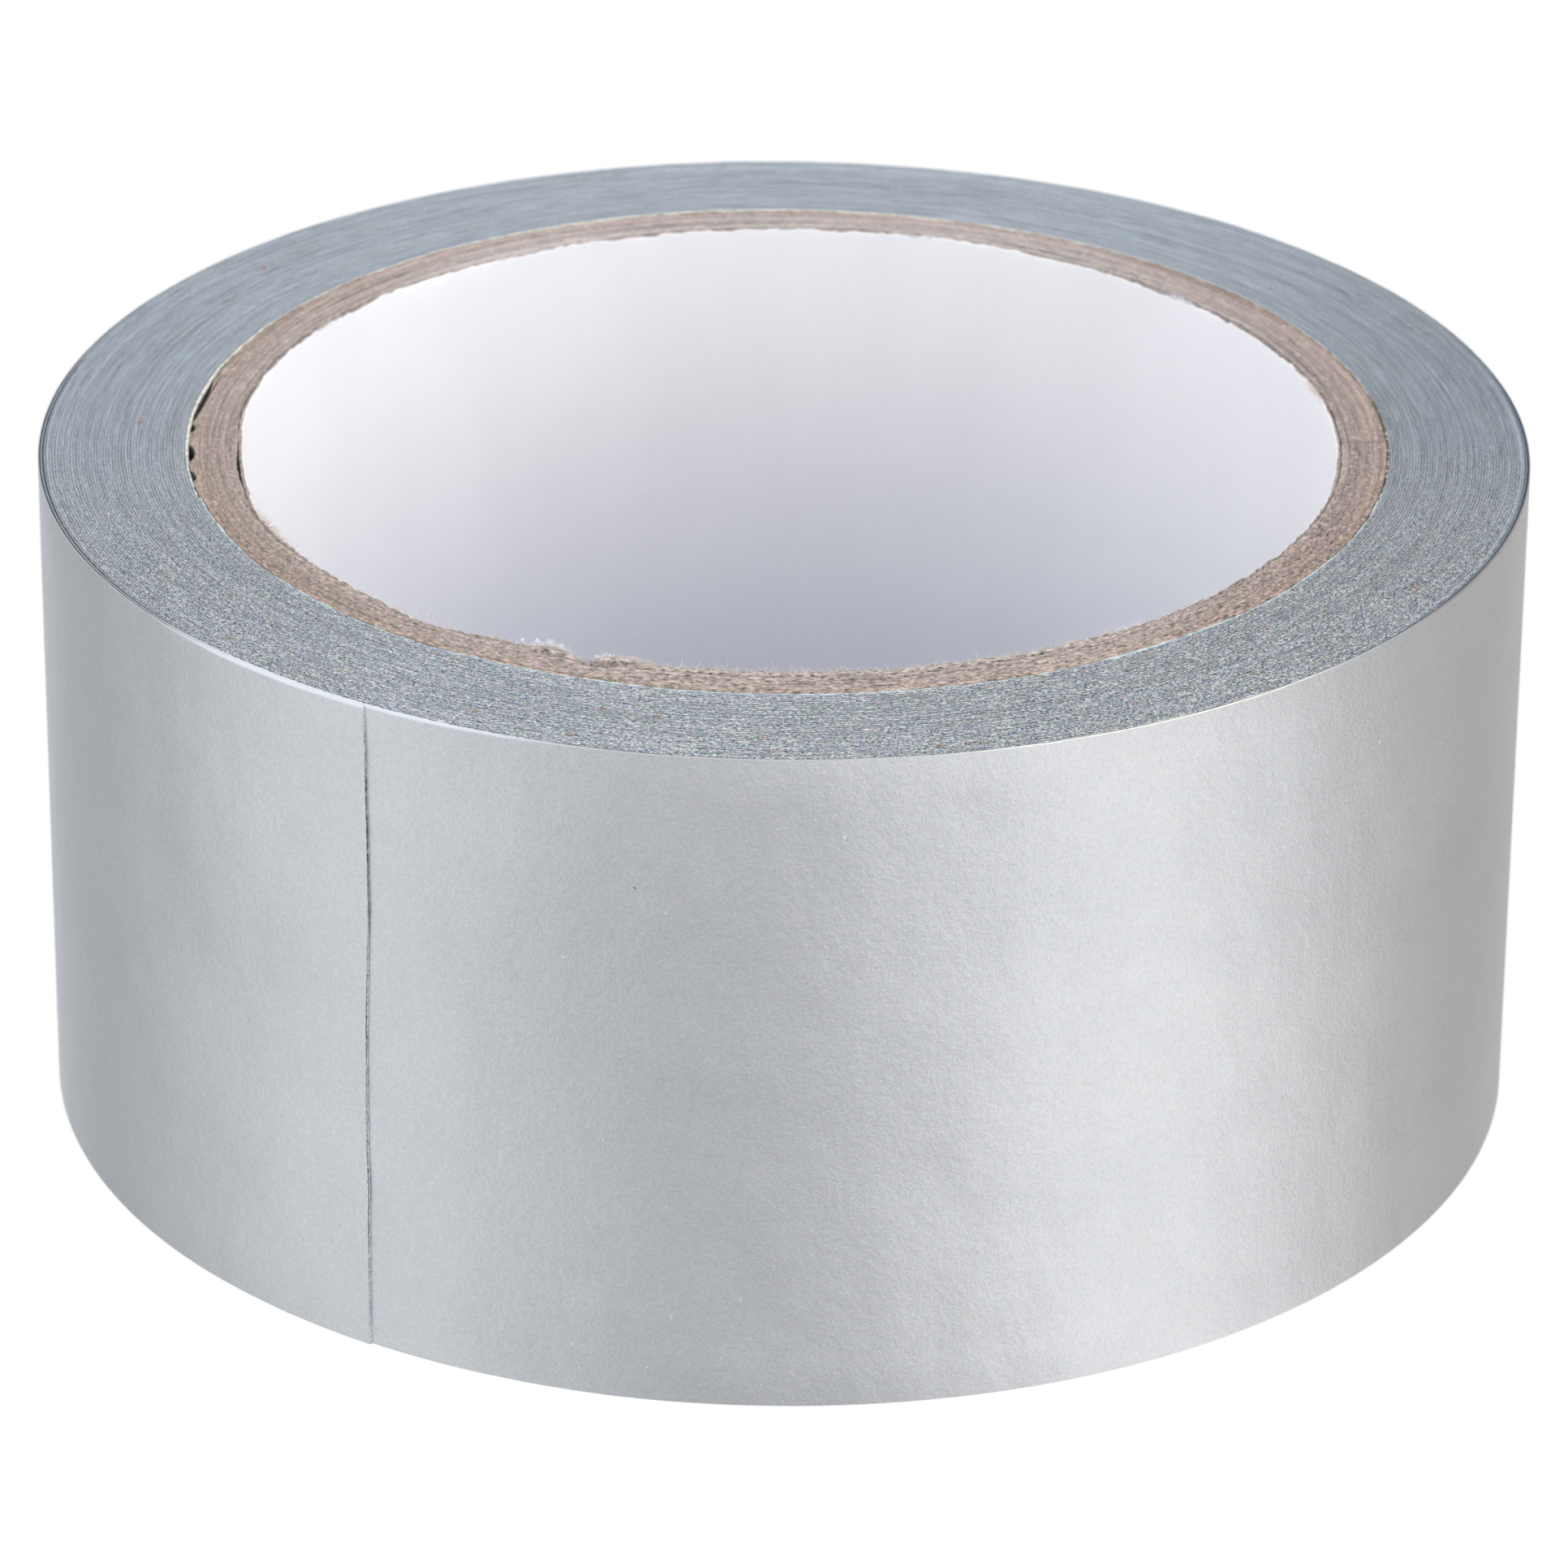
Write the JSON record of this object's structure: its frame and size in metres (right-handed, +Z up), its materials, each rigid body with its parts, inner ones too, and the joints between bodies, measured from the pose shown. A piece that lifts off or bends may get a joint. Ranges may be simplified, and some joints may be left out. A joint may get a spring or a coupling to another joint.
{
  "type": "duct tape roll",
  "caption": "Silver cloth-backed adhesive tape wound in a spiral on a paperboard core, with a free end that peels off in a smooth curve.",
  "frame": {"origin": "centre of the core hole in the plane the roll stands on", "axes": "+Z up along the roll's axis; -Y towards the front, from which the cut end of the tape is seen left of centre"},
  "size_m": [0.104, 0.1039, 0.048],
  "materials": {
    "liner": "matte",
    "kraft": "matte",
    "film": "satin",
    "scrim": "matte",
    "adhesive": "satin"
  },
  "bodies": {
    "roll": {"core_liner": "liner", "core_ply_1": "kraft", "core_ply_2": "kraft", "core_ply_3": "kraft", "core_ply_4": "kraft", "core_ply_5": "kraft", "core_ply_6": "kraft", "wound_film_1": "film", "wound_film_2": "film", "wound_film_3": "film", "wound_film_4": "film", "wound_scrim_1": "scrim", "wound_scrim_2": "scrim", "wound_scrim_3": "scrim", "wound_scrim_4": "scrim", "wound_adhesive_1": "adhesive", "wound_adhesive_2": "adhesive", "wound_adhesive_3": "adhesive", "wound_adhesive_4": "adhesive", "outer_film": "film", "outer_scrim": "scrim", "outer_adhesive": "adhesive"},
    "tail_1": {"tail_film_1": "film", "tail_scrim_1": "scrim", "tail_adhesive_1": "adhesive"},
    "tail_2": {"tail_film_2": "film", "tail_scrim_2": "scrim", "tail_adhesive_2": "adhesive"},
    "tail_3": {"tail_film_3": "film", "tail_scrim_3": "scrim", "tail_adhesive_3": "adhesive"},
    "tail_4": {"tail_film_4": "film", "tail_scrim_4": "scrim", "tail_adhesive_4": "adhesive"},
    "tail_5": {"tail_film_5": "film", "tail_scrim_5": "scrim", "tail_adhesive_5": "adhesive"},
    "tail_6": {"tail_film_6": "film", "tail_scrim_6": "scrim", "tail_adhesive_6": "adhesive"},
    "tail_7": {"tail_film_7": "film", "tail_scrim_7": "scrim", "tail_adhesive_7": "adhesive"},
    "tail_8": {"tail_film_8": "film", "tail_scrim_8": "scrim", "tail_adhesive_8": "adhesive"}
  },
  "joints": [
    {"name": "tail_peel", "type": "hinge", "parent": "roll", "child": "tail_1", "pos_m": [-0.04672, 0.02312, 0.024], "axis": [0, 0, -1], "range_deg": [0, 40]},
    {"name": "tail_bend_2", "type": "hinge", "parent": "tail_1", "child": "tail_2", "pos_m": [-0.05018, 0.01414, 0.024], "axis": [0, 0, -1], "range_deg": [0, 32]},
    {"name": "tail_bend_3", "type": "hinge", "parent": "tail_2", "child": "tail_3", "pos_m": [-0.05193, 0.00469, 0.024], "axis": [0, 0, -1], "range_deg": [0, 24]},
    {"name": "tail_bend_4", "type": "hinge", "parent": "tail_3", "child": "tail_4", "pos_m": [-0.05192, -0.00493, 0.024], "axis": [0, 0, -1], "range_deg": [0, 12]},
    {"name": "tail_bend_5", "type": "hinge", "parent": "tail_4", "child": "tail_5", "pos_m": [-0.05013, -0.01437, 0.024], "axis": [0, 0, -1], "range_deg": [0, 12]},
    {"name": "tail_bend_6", "type": "hinge", "parent": "tail_5", "child": "tail_6", "pos_m": [-0.04663, -0.02335, 0.024], "axis": [0, 0, -1], "range_deg": [0, 12]},
    {"name": "tail_bend_7", "type": "hinge", "parent": "tail_6", "child": "tail_7", "pos_m": [-0.04154, -0.03153, 0.024], "axis": [0, 0, -1], "range_deg": [0, 12]},
    {"name": "tail_bend_8", "type": "hinge", "parent": "tail_7", "child": "tail_8", "pos_m": [-0.03503, -0.03863, 0.024], "axis": [0, 0, -1], "range_deg": [0, 12]}
  ],
  "couplings": [
    {"joint": "tail_bend_2", "follows": "tail_peel", "ratio": 0.8},
    {"joint": "tail_bend_3", "follows": "tail_peel", "ratio": 0.6},
    {"joint": "tail_bend_4", "follows": "tail_peel", "ratio": 0.3},
    {"joint": "tail_bend_5", "follows": "tail_peel", "ratio": 0.3},
    {"joint": "tail_bend_6", "follows": "tail_peel", "ratio": 0.3},
    {"joint": "tail_bend_7", "follows": "tail_peel", "ratio": 0.3},
    {"joint": "tail_bend_8", "follows": "tail_peel", "ratio": 0.3}
  ]
}
